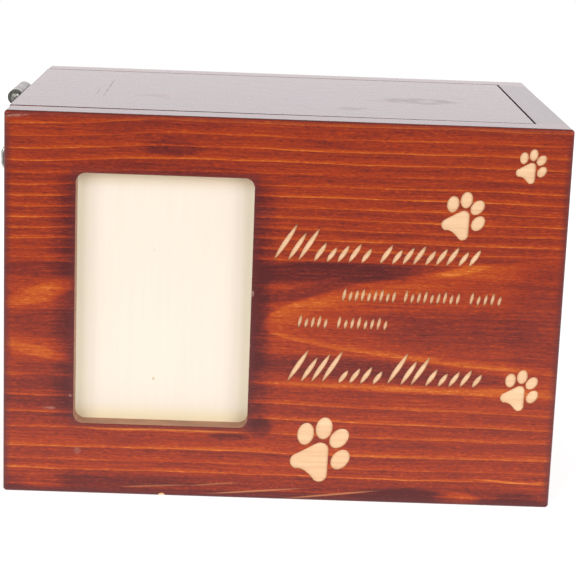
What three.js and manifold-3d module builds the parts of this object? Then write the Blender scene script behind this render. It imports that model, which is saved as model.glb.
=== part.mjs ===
/**
 * Memorial box for ashes: a stained softwood box with a flush lid that lifts off, a photo window
 * and shallow carving in its front board, and a small hasp on its left end.
 *
 * Millimetres, +Z up, the front faces -Y. The origin is the centre of the underside.
 */
import * as THREE from 'three';
import { RoundedBoxGeometry } from 'three/addons/geometries/RoundedBoxGeometry.js';
import { mergeVertices } from 'three/addons/utils/BufferGeometryUtils.js';
import Module from 'manifold-3d';

// Box
const BOX_WIDTH = 200;
const BOX_DEPTH = 140;
const BOX_HEIGHT = 140;
const WALL = 15;
const BOTTOM = 9;
const EDGE_ROUND = 1.25;
const EDGE_STEPS = 3;

// Lid, let into the front, back and right boards and reaching the left face
const LID_THICKNESS = 12;
const LID_STRIP = 12;
const LID_GAP = 0.5;

// Photo window: a lip in front, a deeper rebate behind it that holds the backing
const WINDOW_WIDTH = 63;
const WINDOW_HEIGHT = 91.8;
const WINDOW_X = -43.1;
const WINDOW_Z = 72.8;
const WINDOW_CORNER = 3.5;
const WINDOW_LIP = 7;
const REBATE_MARGIN = 4;
const BACKING_THICKNESS = 4;
const BACKING_GAP = 0.5;

// Carving: paw prints in the size of the largest one, each with its place and scale
const CARVE_DEPTH = 0.6;
const PAW_LEAN = THREE.MathUtils.degToRad(31);
const PAWS = [
  { x: 12.7, z: 14.9, scale: 1 },
  { x: 60.7, z: 104.6, scale: 0.71 },
  { x: 84.9, z: 41.5, scale: 0.63 },
  { x: 84.2, z: 124.1, scale: 0.505 },
];
const TOE_HALF_WIDTH = 3.05;
const TOE_HALF_HEIGHT = 4.25;
const TOES = [
  { x: -7.9, y: 7.6, tilt: -21 },
  { x: -3.4, y: 13, tilt: -21 },
  { x: 3.3, y: 12.75, tilt: 9 },
  { x: 8, y: 6.2, tilt: 6 },
];
const PAD_LOBE = 2.95;
const PAD_TOP = 5.4;
const PAD_SIDE = 4.6;
const PAD_FOOT = -2.7;
const PAD_DENT = { x: -1.5, y: -3.3 };
const DENT_TURN = THREE.MathUtils.degToRad(12);

// Carving: rows of pointed strokes, word by word from left to right; a word may start with taller ones
const STROKE_RHYTHM = [1, 0.78, 0.9];
const SCRIPT = { slant: 0.6, width: 2.1, pitch: 3.9 };
const PRINT = { slant: 0.2, width: 1.2, pitch: 2.3 };
const ROWS = [
  {
    ...SCRIPT, base: 89.5, height: 7.4, tallTop: 103.5,
    words: [{ from: -2, to: 31, tall: 3 }, { from: 34, to: 69.5 }],
  },
  {
    ...PRINT, base: 75.3, height: 5.3,
    words: [{ from: 20.5, to: 40.5 }, { from: 42.5, to: 63.5 }, { from: 66, to: 78.5 }],
  },
  {
    ...PRINT, base: 65, height: 5.3,
    words: [{ from: 5, to: 16.5 }, { from: 19, to: 38 }],
  },
  {
    ...SCRIPT, base: 44.8, height: 6.9, tallTop: 57.5,
    words: [{ from: 4, to: 37, tall: 4 }, { from: 40, to: 73, tall: 3 }],
  },
];

// Hasp: leaf on the lid's end, tongue on a pin above it, staple on the left board
const PLATE = 1.25;
const HASP_AXIS_OUT = 3.5;
const HASP_AXIS_Z = 137;
const KNUCKLE_RADIUS = 3;
const KNUCKLE_END = 13;
const KNUCKLE_SPLIT = 7;
const PIN_RADIUS = 1;
const PIN_HEAD_RADIUS = 2.2;
const PIN_CROWN_RADIUS = 1.3;
const PIN_HEAD = 1;
const RUNNING_GAP = 0.3;
const LEAF_FOOT_Z = 129;
const TONGUE_INNER_OUT = 2.5;
const TONGUE_FOOT_Z = 101.5;
const TONGUE_CORNER = 4;
const SLOT_WIDTH = 3;
const SLOT_LOW_Z = 104.4;
const SLOT_HIGH_Z = 117.8;
const STAPLE_HALF_WIDTH = 14;
const STAPLE_HEIGHT = 13;
const STAPLE_Z = 111.5;
const PLATE_CORNER = 2;
const LOOP_REACH = 10.8;
const LOOP_HEIGHT = 11;
const LOOP_WIRE = 0.8;
const LOOP_BEND = 3;
const SCREW_RADIUS = 2;
const SCREW_DOME = 0.9;
const SCREW_DOME_STEPS = 3;
const SCREW_SLOT_WIDTH = 0.6;
const SCREW_SLOT_DEPTH = 0.4;
const LEAF_SCREW_Y = 9.8;
const LEAF_SCREW_Z = 131.6;
const STAPLE_SCREW_Y = 10.3;

// How far a cutter runs past the surface it cuts, and how finely round things are faceted
const PAST = 5;
const ROUND_SIDES = 24;
const SCREW_SIDES = 12;
const CURVE_STEPS = 4;
const TOE_STEPS = 8;
const LOOP_STEPS = 28;

// Worked out from the sizes above
const HALF_WIDTH = BOX_WIDTH / 2;
const HALF_DEPTH = BOX_DEPTH / 2;
const INNER_X = HALF_WIDTH - WALL;
const INNER_Y = HALF_DEPTH - WALL;
const LID_UNDERSIDE = BOX_HEIGHT - LID_THICKNESS;
const RECESS_X = HALF_WIDTH - LID_STRIP;
const RECESS_Y = HALF_DEPTH - LID_STRIP;
const LIP_BACK_Y = -HALF_DEPTH + WINDOW_LIP;
const HASP_AXIS_X = -HALF_WIDTH - HASP_AXIS_OUT;
const PLATE_FACE_X = -HALF_WIDTH - PLATE;

const STAINED_WOOD = { color: 0x9c3a1e, roughness: 0.35, metalness: 0 };
const BARE_WOOD = { color: 0xf6e8cc, roughness: 0.8, metalness: 0 };
const ANTIQUE_BRONZE = { color: 0x57534a, roughness: 0.42, metalness: 0.9 };

const wasm = await Module();
wasm.setup();

/** Turns a closed geometry into a solid that can be joined and cut. */
function solidOf(geometry) {
  geometry.deleteAttribute('normal');
  geometry.deleteAttribute('uv');
  const merged = mergeVertices(geometry);
  const vertProperties = new Float32Array(merged.attributes.position.array);
  const triVerts = new Uint32Array(merged.index.array);
  return new wasm.Manifold(new wasm.Mesh({ numProp: 3, vertProperties, triVerts }));
}

/** Turns a solid back into a geometry. */
function geometryOf(solid) {
  const mesh = solid.getMesh();
  const geometry = new THREE.BufferGeometry();
  geometry.setAttribute('position', new THREE.BufferAttribute(new Float32Array(mesh.vertProperties), 3));
  geometry.setIndex(new THREE.BufferAttribute(new Uint32Array(mesh.triVerts), 1));
  geometry.computeVertexNormals();
  return geometry;
}

/** A named piece with a material of its own. */
function piece(name, solid, finish) {
  const mesh = new THREE.Mesh(geometryOf(solid), new THREE.MeshStandardMaterial(finish));
  mesh.name = name;
  return mesh;
}

/** A square-edged block between two corners. */
function block(low, high) {
  const size = high.map((value, axis) => value - low[axis]);
  const geometry = new THREE.BoxGeometry(...size);
  geometry.translate(...low.map((value, axis) => value + size[axis] / 2));
  return solidOf(geometry);
}

/** A cylinder along Y. */
function rodAlongY(radius, low, high, x, z) {
  const geometry = new THREE.CylinderGeometry(radius, radius, high - low, ROUND_SIDES);
  geometry.translate(x, (low + high) / 2, z);
  return solidOf(geometry);
}

/** An outline drawn with x to the right and y up, as seen from the front, thickened forwards from y = 0. */
function frontGeometry(shape, depth, curveSegments = CURVE_STEPS) {
  const geometry = new THREE.ExtrudeGeometry(shape, { depth, curveSegments, bevelEnabled: false });
  return geometry.rotateX(Math.PI / 2);
}

/** The same outline turned to the left face, as a plate whose inner side is at innerX. */
function leftPlate(shape, innerX) {
  const geometry = frontGeometry(shape, PLATE);
  geometry.rotateZ(-Math.PI / 2);
  geometry.translate(innerX, 0, 0);
  return solidOf(geometry);
}

/** A rectangle with round corners. */
function roundedRectangle(left, right, bottom, top, radius) {
  const shape = new THREE.Shape();
  shape.moveTo(left + radius, bottom);
  shape.lineTo(right - radius, bottom);
  shape.absarc(right - radius, bottom + radius, radius, -Math.PI / 2, 0);
  shape.lineTo(right, top - radius);
  shape.absarc(right - radius, top - radius, radius, 0, Math.PI / 2);
  shape.lineTo(left + radius, top);
  shape.absarc(left + radius, top - radius, radius, Math.PI / 2, Math.PI);
  shape.lineTo(left, bottom + radius);
  shape.absarc(left + radius, bottom + radius, radius, Math.PI, Math.PI * 1.5);
  return shape;
}

/** The whole box as one block with soft edges: its four walls are cut from it. */
function softBlock() {
  const geometry = new RoundedBoxGeometry(BOX_WIDTH, BOX_DEPTH, BOX_HEIGHT, EDGE_STEPS, EDGE_ROUND);
  geometry.translate(0, 0, BOX_HEIGHT / 2);
  return solidOf(geometry);
}

const BOX_BLOCK = softBlock();
const FAR_X = HALF_WIDTH + PAST;
const FAR_Y = HALF_DEPTH + PAST;
const FAR_Z = BOX_HEIGHT + PAST;
const LID_RECESS = block([-FAR_X, -RECESS_Y, LID_UNDERSIDE], [RECESS_X, RECESS_Y, FAR_Z]);

/** The part of the soft-edged block that lies between two corners. */
function board(low, high) {
  return BOX_BLOCK.intersect(block(low, high));
}

/** The window's opening and the rebate behind it. */
function windowCutter() {
  const halfWidth = WINDOW_WIDTH / 2;
  const halfHeight = WINDOW_HEIGHT / 2;
  const outline = roundedRectangle(
    WINDOW_X - halfWidth, WINDOW_X + halfWidth, WINDOW_Z - halfHeight, WINDOW_Z + halfHeight, WINDOW_CORNER,
  );
  const opening = frontGeometry(outline, WINDOW_LIP + 2 * PAST);
  opening.translate(0, LIP_BACK_Y + PAST, 0);
  const rebate = block(
    [WINDOW_X - halfWidth - REBATE_MARGIN, LIP_BACK_Y, WINDOW_Z - halfHeight - REBATE_MARGIN],
    [WINDOW_X + halfWidth + REBATE_MARGIN, -INNER_Y + PAST, WINDOW_Z + halfHeight + REBATE_MARGIN],
  );
  return solidOf(opening).add(rebate);
}

/** Sets a cutter's geometry so that it reaches CARVE_DEPTH into the front face. */
function carved(geometry) {
  return solidOf(geometry.translate(0, -HALF_DEPTH + CARVE_DEPTH, 0));
}

/** One toe of an upright paw print, an ellipse that leans to the right by its tilt. */
function toeShape({ x, y, tilt }) {
  const lean = -THREE.MathUtils.degToRad(tilt);
  const shape = new THREE.Shape();
  shape.absellipse(x, y, TOE_HALF_WIDTH, TOE_HALF_HEIGHT, 0, Math.PI * 2, false, lean);
  return shape;
}

/** The pad of an upright paw print: three round lobes, straight sides and a dent between its feet. */
function padShape() {
  const side = Math.atan2(PAD_SIDE, PAD_TOP - PAD_FOOT);
  const dentX = PAD_SIDE - PAD_LOBE * Math.sin(DENT_TURN);
  const dentY = PAD_FOOT - PAD_LOBE * Math.cos(DENT_TURN);
  const shape = new THREE.Shape();
  shape.absarc(0, PAD_TOP, PAD_LOBE, side, Math.PI - side);
  shape.absarc(-PAD_SIDE, PAD_FOOT, PAD_LOBE, Math.PI - side, Math.PI * 1.5 + DENT_TURN);
  shape.quadraticCurveTo(PAD_DENT.x, PAD_DENT.y, dentX, dentY);
  shape.absarc(PAD_SIDE, PAD_FOOT, PAD_LOBE, Math.PI * 1.5 - DENT_TURN, Math.PI * 2 + side);
  return shape;
}

/** The cutters of one paw print, leaning to the right. */
function pawCutters({ x, z, scale }) {
  const outlines = [padShape(), ...TOES.map(toeShape)];
  return outlines.map((outline, index) => {
    const geometry = frontGeometry(outline, CARVE_DEPTH + PAST, index === 0 ? CURVE_STEPS : TOE_STEPS);
    geometry.rotateY(PAW_LEAN);
    geometry.scale(scale, 1, scale);
    return carved(geometry.translate(x, 0, z));
  });
}

/** One stroke: a leaf with two pointed ends that leans to the right. */
function strokeCutter(x, low, high, slant, width) {
  const run = (high - low) * slant;
  const shape = new THREE.Shape();
  shape.moveTo(x - run / 2, low);
  shape.quadraticCurveTo(x + width, (low + high) / 2, x + run / 2, high);
  shape.quadraticCurveTo(x - width, (low + high) / 2, x - run / 2, low);
  return carved(frontGeometry(shape, CARVE_DEPTH + PAST));
}

/** The strokes of one row, spread evenly over each of its words. */
function rowCutters({ base, height, tallTop, slant, width, pitch, words }) {
  const cutters = [];
  for (const { from, to, tall = 0 } of words) {
    const count = Math.round((to - from) / pitch);
    const step = (to - from) / count;
    for (let index = 0; index < count; index += 1) {
      const x = from + (index + 0.5) * step;
      const fullHeight = index < tall ? tallTop - base : height;
      const top = base + fullHeight * STROKE_RHYTHM[index % STROKE_RHYTHM.length];
      cutters.push(strokeCutter(x, base, top, slant, width));
    }
  }
  return cutters;
}

function frontBoard() {
  let solid = board([-FAR_X, -FAR_Y, -PAST], [FAR_X, -INNER_Y, FAR_Z]);
  solid = solid.subtract(LID_RECESS).subtract(windowCutter());
  const cutters = [...PAWS.flatMap(pawCutters), ...ROWS.flatMap(rowCutters)];
  for (const cutter of cutters) {
    solid = solid.subtract(cutter);
  }
  return solid;
}

function backBoard() {
  return board([-FAR_X, INNER_Y, -PAST], [FAR_X, FAR_Y, FAR_Z]).subtract(LID_RECESS);
}

function rightEndBoard() {
  return board([INNER_X, -INNER_Y, -PAST], [FAR_X, INNER_Y, FAR_Z]).subtract(LID_RECESS);
}

function leftEndBoard() {
  return board([-FAR_X, -INNER_Y, -PAST], [-INNER_X, INNER_Y, LID_UNDERSIDE]);
}

function bottomBoard() {
  return block([-INNER_X, -INNER_Y, 0], [INNER_X, INNER_Y, BOTTOM]);
}

/** The lid keeps its square edges, also at its left end. */
function lid() {
  const sideY = RECESS_Y - LID_GAP;
  return block([-HALF_WIDTH, -sideY, LID_UNDERSIDE], [RECESS_X - LID_GAP, sideY, BOX_HEIGHT]);
}

function photoBacking() {
  const halfWidth = WINDOW_WIDTH / 2 + REBATE_MARGIN - BACKING_GAP;
  const halfHeight = WINDOW_HEIGHT / 2 + REBATE_MARGIN - BACKING_GAP;
  return block(
    [WINDOW_X - halfWidth, LIP_BACK_Y, WINDOW_Z - halfHeight],
    [WINDOW_X + halfWidth, LIP_BACK_Y + BACKING_THICKNESS, WINDOW_Z + halfHeight],
  );
}

/** A knuckle of the hasp's hinge, before it is bored for the pin. */
function knuckle(low, high) {
  return rodAlongY(KNUCKLE_RADIUS, low, high, HASP_AXIS_X, HASP_AXIS_Z);
}

/** The hole for the pin, right through the hinge. */
function pinHole() {
  const end = KNUCKLE_END + PAST;
  return rodAlongY(PIN_RADIUS + RUNNING_GAP, -end, end, HASP_AXIS_X, HASP_AXIS_Z);
}

function haspLeaf() {
  const outline = roundedRectangle(-KNUCKLE_END, KNUCKLE_END, LEAF_FOOT_Z, HASP_AXIS_Z, PLATE_CORNER);
  const tongueRoom = block(
    [PLATE_FACE_X - PAST, -KNUCKLE_SPLIT, HASP_AXIS_Z - KNUCKLE_RADIUS - RUNNING_GAP],
    [-HALF_WIDTH + PAST, KNUCKLE_SPLIT, HASP_AXIS_Z + PAST],
  );
  return leftPlate(outline, -HALF_WIDTH)
    .subtract(tongueRoom)
    .add(knuckle(-KNUCKLE_END, -KNUCKLE_SPLIT))
    .add(knuckle(KNUCKLE_SPLIT, KNUCKLE_END))
    .subtract(pinHole());
}

function haspTongue() {
  const halfWidth = KNUCKLE_SPLIT - RUNNING_GAP;
  const outline = roundedRectangle(-halfWidth, halfWidth, TONGUE_FOOT_Z, HASP_AXIS_Z, TONGUE_CORNER);
  const slot = block(
    [HASP_AXIS_X - PAST, -SLOT_WIDTH / 2, SLOT_LOW_Z],
    [HASP_AXIS_X + PAST, SLOT_WIDTH / 2, SLOT_HIGH_Z],
  );
  return leftPlate(outline, -HALF_WIDTH - TONGUE_INNER_OUT)
    .subtract(slot)
    .add(knuckle(-halfWidth, halfWidth))
    .subtract(pinHole());
}

/** The pin, with a low domed head against each outer knuckle. */
function haspPin() {
  const dome = (side) => [
    new THREE.Vector2(PIN_HEAD_RADIUS, side * KNUCKLE_END),
    new THREE.Vector2(PIN_HEAD_RADIUS, side * (KNUCKLE_END + PIN_HEAD / 2)),
    new THREE.Vector2(PIN_CROWN_RADIUS, side * (KNUCKLE_END + PIN_HEAD)),
    new THREE.Vector2(0, side * (KNUCKLE_END + PIN_HEAD)),
  ];
  const profile = [
    ...dome(-1).reverse(),
    new THREE.Vector2(PIN_RADIUS, -KNUCKLE_END),
    new THREE.Vector2(PIN_RADIUS, KNUCKLE_END),
    ...dome(1),
  ];
  const geometry = new THREE.LatheGeometry(profile, ROUND_SIDES);
  geometry.translate(HASP_AXIS_X, 0, HASP_AXIS_Z);
  return solidOf(geometry);
}

/** The staple's wire: out from the plate, up and back, in the upright plane across the slot. */
function loopPath() {
  const rootX = -HALF_WIDTH - PLATE / 2;
  const outX = -HALF_WIDTH - LOOP_REACH + LOOP_WIRE;
  const bendX = outX + LOOP_BEND;
  const lowZ = STAPLE_Z - LOOP_HEIGHT / 2 + LOOP_WIRE;
  const highZ = STAPLE_Z + LOOP_HEIGHT / 2 - LOOP_WIRE;
  const at = (x, z) => new THREE.Vector3(x, 0, z);
  const lowBend = [at(bendX, lowZ), at(outX, lowZ), at(outX, lowZ + LOOP_BEND)];
  const highBend = [at(outX, highZ - LOOP_BEND), at(outX, highZ), at(bendX, highZ)];
  const path = new THREE.CurvePath();
  path.add(new THREE.LineCurve3(at(rootX, lowZ), lowBend[0]));
  path.add(new THREE.QuadraticBezierCurve3(...lowBend));
  path.add(new THREE.LineCurve3(lowBend[2], highBend[0]));
  path.add(new THREE.QuadraticBezierCurve3(...highBend));
  path.add(new THREE.LineCurve3(highBend[2], at(rootX, highZ)));
  return path;
}

function haspStaple() {
  const low = STAPLE_Z - STAPLE_HEIGHT / 2;
  const high = STAPLE_Z + STAPLE_HEIGHT / 2;
  const outline = roundedRectangle(-STAPLE_HALF_WIDTH, STAPLE_HALF_WIDTH, low, high, PLATE_CORNER);
  const wire = new THREE.Shape();
  wire.absarc(0, 0, LOOP_WIRE, 0, Math.PI * 2);
  const sweep = { extrudePath: loopPath(), steps: LOOP_STEPS, curveSegments: CURVE_STEPS };
  return leftPlate(outline, -HALF_WIDTH).add(solidOf(new THREE.ExtrudeGeometry(wire, sweep)));
}

/** A round-headed wood screw's head on a plate, with its slot upright. */
function haspScrew(y, z) {
  const profile = [new THREE.Vector2(0, 0)];
  for (let step = 0; step <= SCREW_DOME_STEPS; step += 1) {
    const turn = (step / SCREW_DOME_STEPS) * (Math.PI / 2);
    const radius = step === SCREW_DOME_STEPS ? 0 : SCREW_RADIUS * Math.cos(turn);
    profile.push(new THREE.Vector2(radius, SCREW_DOME * Math.sin(turn)));
  }
  const geometry = new THREE.LatheGeometry(profile, SCREW_SIDES);
  geometry.rotateZ(Math.PI / 2);
  geometry.translate(PLATE_FACE_X, y, z);
  const slot = block(
    [PLATE_FACE_X - SCREW_DOME - PAST, y - SCREW_SLOT_WIDTH / 2, z - SCREW_RADIUS - PAST],
    [PLATE_FACE_X - SCREW_DOME + SCREW_SLOT_DEPTH, y + SCREW_SLOT_WIDTH / 2, z + SCREW_RADIUS + PAST],
  );
  return solidOf(geometry).subtract(slot);
}

const memorialBox = new THREE.Group();
memorialBox.add(
  piece('front_board', frontBoard(), STAINED_WOOD),
  piece('back_board', backBoard(), STAINED_WOOD),
  piece('left_end_board', leftEndBoard(), STAINED_WOOD),
  piece('right_end_board', rightEndBoard(), STAINED_WOOD),
  piece('bottom_board', bottomBoard(), STAINED_WOOD),
  piece('lid', lid(), STAINED_WOOD),
  piece('photo_backing', photoBacking(), BARE_WOOD),
);

const hasp = new THREE.Group();
hasp.add(
  piece('hasp_leaf', haspLeaf(), ANTIQUE_BRONZE),
  piece('hasp_pin', haspPin(), ANTIQUE_BRONZE),
  piece('hasp_tongue', haspTongue(), ANTIQUE_BRONZE),
  piece('hasp_staple', haspStaple(), ANTIQUE_BRONZE),
);
for (const [index, side] of [-1, 1].entries()) {
  const leafScrew = haspScrew(side * LEAF_SCREW_Y, LEAF_SCREW_Z);
  const stapleScrew = haspScrew(side * STAPLE_SCREW_Y, STAPLE_Z);
  hasp.add(piece(`leaf_screw_${index + 1}`, leafScrew, ANTIQUE_BRONZE));
  hasp.add(piece(`staple_screw_${index + 1}`, stapleScrew, ANTIQUE_BRONZE));
}
memorialBox.add(hasp);

export default memorialBox;
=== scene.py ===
"""Looks of a memorial box for ashes.

Stained softwood boards with a lift-off lid, a carved front with a photo window, and an antique bronze hasp.
The frame is in metres, +Z up, with the front facing -Y. Sizes are written in millimetres and scaled by MM.
"""

import logging
import math
from collections.abc import Callable, Iterator, Sequence
from contextlib import contextmanager
from dataclasses import dataclass
from enum import Enum
from functools import cached_property

import bmesh
import bpy
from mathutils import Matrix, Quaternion, Vector


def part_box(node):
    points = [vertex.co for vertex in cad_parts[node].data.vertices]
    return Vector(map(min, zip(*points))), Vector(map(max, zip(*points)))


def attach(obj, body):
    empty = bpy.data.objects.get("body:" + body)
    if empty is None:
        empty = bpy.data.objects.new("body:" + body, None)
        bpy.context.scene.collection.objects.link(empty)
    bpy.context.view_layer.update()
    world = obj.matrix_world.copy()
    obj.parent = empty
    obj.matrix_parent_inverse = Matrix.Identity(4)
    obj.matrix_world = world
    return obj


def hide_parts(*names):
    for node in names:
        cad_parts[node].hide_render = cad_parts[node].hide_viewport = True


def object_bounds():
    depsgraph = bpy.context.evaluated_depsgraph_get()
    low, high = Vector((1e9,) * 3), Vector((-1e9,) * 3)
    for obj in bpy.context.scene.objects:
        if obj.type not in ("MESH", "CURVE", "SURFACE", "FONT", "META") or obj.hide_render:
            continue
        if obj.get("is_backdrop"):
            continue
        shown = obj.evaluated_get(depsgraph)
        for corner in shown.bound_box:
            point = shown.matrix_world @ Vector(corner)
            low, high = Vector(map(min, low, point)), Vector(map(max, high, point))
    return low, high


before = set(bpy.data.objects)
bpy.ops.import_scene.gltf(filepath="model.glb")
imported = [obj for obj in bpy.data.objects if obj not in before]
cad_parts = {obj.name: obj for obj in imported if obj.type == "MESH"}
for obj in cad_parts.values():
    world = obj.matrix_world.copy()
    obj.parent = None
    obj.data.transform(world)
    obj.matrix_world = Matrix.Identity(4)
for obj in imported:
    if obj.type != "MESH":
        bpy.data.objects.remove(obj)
CAD_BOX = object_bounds()

MM = 0.001
TOUCH = 0.01 * MM
PAST = 5 * MM
SQUARE = math.radians(80)
QUARTER = math.pi / 2
ROD_SIDES = 48

Piece = bpy.types.Object
Material = bpy.types.Material
Socket = bpy.types.NodeSocket
Edge = bmesh.types.BMEdge
Colour = tuple[float, float, float]
Point = tuple[float, float]
log = logging.getLogger("memorial_box")


class Value:
    """A number that changes over a surface: arithmetic on it adds Math nodes to its graph."""

    def __init__(self, graph: "Graph", socket: Socket) -> None:
        """Wraps one output socket of a graph."""
        self.graph = graph
        self.socket = socket

    def math(self, operation: str, *terms: "Value | float") -> "Value":
        """Adds one Math node.

        Args:
            operation: The node's operation.
            terms: Its inputs, in order.

        Returns:
            The node's result.
        """
        node = self.graph.node("ShaderNodeMath", {"operation": operation}, dict(enumerate(terms)))
        return Value(self.graph, node.outputs[0])

    def __add__(self, other: "Value | float") -> "Value":
        """Sum."""
        return self.math("ADD", self, other)

    def __radd__(self, other: float) -> "Value":
        """Sum with a number on the left."""
        return self.math("ADD", other, self)

    def __sub__(self, other: "Value | float") -> "Value":
        """Difference."""
        return self.math("SUBTRACT", self, other)

    def __rsub__(self, other: float) -> "Value":
        """Difference from a number."""
        return self.math("SUBTRACT", other, self)

    def __mul__(self, other: "Value | float") -> "Value":
        """Product."""
        return self.math("MULTIPLY", self, other)

    def __rmul__(self, other: float) -> "Value":
        """Product with a number on the left."""
        return self.math("MULTIPLY", other, self)

    def __truediv__(self, other: "Value | float") -> "Value":
        """Quotient."""
        return self.math("DIVIDE", self, other)

    def __pow__(self, other: float) -> "Value":
        """Power."""
        return self.math("POWER", self, other)

    def __abs__(self) -> "Value":
        """Size without its sign."""
        return self.math("ABSOLUTE", self)

    def least(self, other: "Value | float") -> "Value":
        """The smaller of two values."""
        return self.math("MINIMUM", self, other)

    def most(self, other: "Value | float") -> "Value":
        """The larger of two values."""
        return self.math("MAXIMUM", self, other)

    def whole(self) -> "Value":
        """The whole number below the value."""
        return self.math("FLOOR", self)

    def part(self) -> "Value":
        """What is left above that whole number."""
        return self.math("FRACT", self)

    def rise(self, low: float, high: float) -> "Value":
        """Climbs smoothly from 0 at low to 1 at high."""
        ends = {"Value": self, "From Min": low, "From Max": high}
        node = self.graph.node("ShaderNodeMapRange", {"interpolation_type": "SMOOTHSTEP"}, ends)
        return Value(self.graph, node.outputs["Result"])

    def fall(self, low: float, high: float) -> "Value":
        """Sinks smoothly from 1 at low to 0 at high."""
        return 1 - self.rise(low, high)

    def near(self, limit: float, start: float, end: float) -> "Value":
        """Climbs smoothly from 0 at start below a limit to 1 at end below it."""
        return self.rise(limit - start, limit - end)


class Tree:
    """A node tree while it is drawn."""

    def __init__(self, tree: bpy.types.NodeTree) -> None:
        """Takes over a tree and empties it."""
        self.tree = tree
        self.tree.nodes.clear()

    def node(self, kind: str, settings: dict | None = None, inputs: dict | None = None) -> bpy.types.Node:
        """Adds a node.

        Args:
            kind: The node's type.
            settings: Its properties, set first; "stops" are a ramp's positions and colours.
            inputs: Values or links for its sockets, by name or number.

        Returns:
            The new node.
        """
        node = self.tree.nodes.new(kind)
        for key, setting in (settings or {}).items():
            if key == "stops":
                self.set_stops(node.color_ramp, setting)
            else:
                setattr(node, key, setting)
        for key, given in (inputs or {}).items():
            source = given.socket if isinstance(given, Value) else given
            if isinstance(source, Socket):
                self.tree.links.new(source, node.inputs[key])
            else:
                node.inputs[key].default_value = source
        return node

    @staticmethod
    def set_stops(ramp: bpy.types.ColorRamp, stops: Sequence[tuple[float, Colour]]) -> None:
        """Gives a ramp its positions and colours."""
        while len(ramp.elements) < len(stops):
            ramp.elements.new(1)
        for element, (position, colour) in zip(ramp.elements, stops):
            element.position = position
            element.color = (*colour, 1)


class Graph(Tree):
    """The node tree of one material, with the place on its object in millimetres."""

    def __init__(self, name: str) -> None:
        """Starts an empty material of that name."""
        self.material = bpy.data.materials.new(name)
        self.material.use_nodes = True
        super().__init__(self.material.node_tree)
        place = self.node("ShaderNodeTexCoord").outputs["Object"]
        scaled = self.node("ShaderNodeVectorMath", {"operation": "SCALE"}, {0: place, "Scale": 1 / MM})
        parts = self.node("ShaderNodeSeparateXYZ", inputs={0: scaled.outputs[0]}).outputs
        self.x, self.y, self.z = (Value(self, part) for part in parts)

    def noise(self, *place: Value | float, detail: float = 2, roughness: float = 0.5) -> Value:
        """Smooth noise from -1 to 1, whose lumps are about one unit of its three-part place apart."""
        vector = self.node("ShaderNodeCombineXYZ", inputs=dict(enumerate(place))).outputs[0]
        given = {"Vector": vector, "Scale": 1, "Detail": detail, "Roughness": roughness}
        return Value(self, self.node("ShaderNodeTexNoise", inputs=given).outputs[0]) * 2 - 1

    def cloud(self, size: float, detail: float = 2, roughness: float = 0.5) -> Value:
        """Smooth noise from -1 to 1, whose lumps are that many millimetres apart."""
        place = (axis / size for axis in (self.x, self.y, self.z))
        return self.noise(*place, detail=detail, roughness=roughness)

    def chance(self, number: Value) -> Value:
        """A random number from 0 to 1 that depends on a whole number."""
        settings = {"noise_dimensions": "1D"}
        return Value(self, self.node("ShaderNodeTexWhiteNoise", settings, {"W": number}).outputs[0])

    def ramp(self, value: Value, stops: Sequence[tuple[float, Colour]]) -> Socket:
        """The colour that a value picks between stops."""
        return self.node("ShaderNodeValToRGB", {"stops": stops}, {0: value}).outputs[0]

    def mix(self, share: Value, first: Socket | Colour, second: Socket | Colour) -> Socket:
        """Goes from a first colour to a second one as share goes from 0 to 1."""
        ends = {
            key: (*colour, 1) if isinstance(colour, tuple) else colour
            for key, colour in ((6, first), (7, second))
        }
        return self.node("ShaderNodeMix", {"data_type": "RGBA"}, {0: share, **ends}).outputs[2]

    def shader(self, inputs: dict) -> Material:
        """Closes the tree with a shader that has those inputs, and gives the finished material."""
        shader = self.node("ShaderNodeBsdfPrincipled", inputs=inputs)
        self.node("ShaderNodeOutputMaterial", inputs={"Surface": shader.outputs[0]})
        return self.material

    def surface(
        self,
        colour: Socket,
        roughness: Value,
        relief: Value,
        uniform: dict,
        metallic: Value | None = None,
    ) -> Material:
        """Closes the tree with a shader that changes over the surface.

        Args:
            colour: Base colour.
            roughness: How matt the surface is.
            relief: Height in millimetres, for the bump.
            uniform: Values that are the same all over, by socket name.
            metallic: Share of bare metal, if it changes.

        Returns:
            The finished material.
        """
        bump = self.node("ShaderNodeBump", inputs={"Strength": 1, "Distance": MM, "Height": relief})
        inputs = {"Base Color": colour, "Roughness": roughness, "Normal": bump.outputs[0], **uniform}
        if metallic is not None:
            inputs["Metallic"] = metallic
        return self.shader(inputs)


class Lie(Enum):
    """The object axes that run along a board's grain, across it, and into the board."""

    UPRIGHT_ALONG_X = ("x", "z", "y")
    UPRIGHT_ALONG_Y = ("y", "z", "x")
    FLAT_ALONG_X = ("x", "y", "z")


@dataclass(frozen=True)
class Grain:
    """Where a point lies in a board, in millimetres."""

    along: Value
    across: Value
    depth: Value


@dataclass(frozen=True)
class Lens:
    """A soft-edged patch of a surface.

    In the grain a tone above 0 makes it orange, and one below 0 dark. In a mark the tone is its strength.
    """

    along: float
    across: float
    half_length: float
    half_height: float
    slope: float
    tone: float

    SOFT = (0.2, 1.25)

    def cover(self, grain: Grain) -> Value:
        """How much of the patch is at a place, from 0 to 1."""
        off = grain.along - self.along
        far = off / self.half_length
        high = (grain.across - self.across - off * self.slope) / self.half_height
        return (far * far + high * high).fall(*self.SOFT)


@dataclass(frozen=True)
class Rings:
    """Growth lines at given heights in millimetres, from the top down."""

    heights: tuple[float, ...]

    TOP = 145
    SPAN = 150

    def count(self, graph: Graph, across: Value) -> Value:
        """The number of lines above a height, with the share of the year that it lies in."""
        total = len(self.heights)
        stops = [
            ((self.TOP - height) / self.SPAN, (index / total,) * 3)
            for index, height in enumerate(self.heights)
        ]
        return Value(graph, graph.ramp((self.TOP - across) / self.SPAN, stops)) * total


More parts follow.
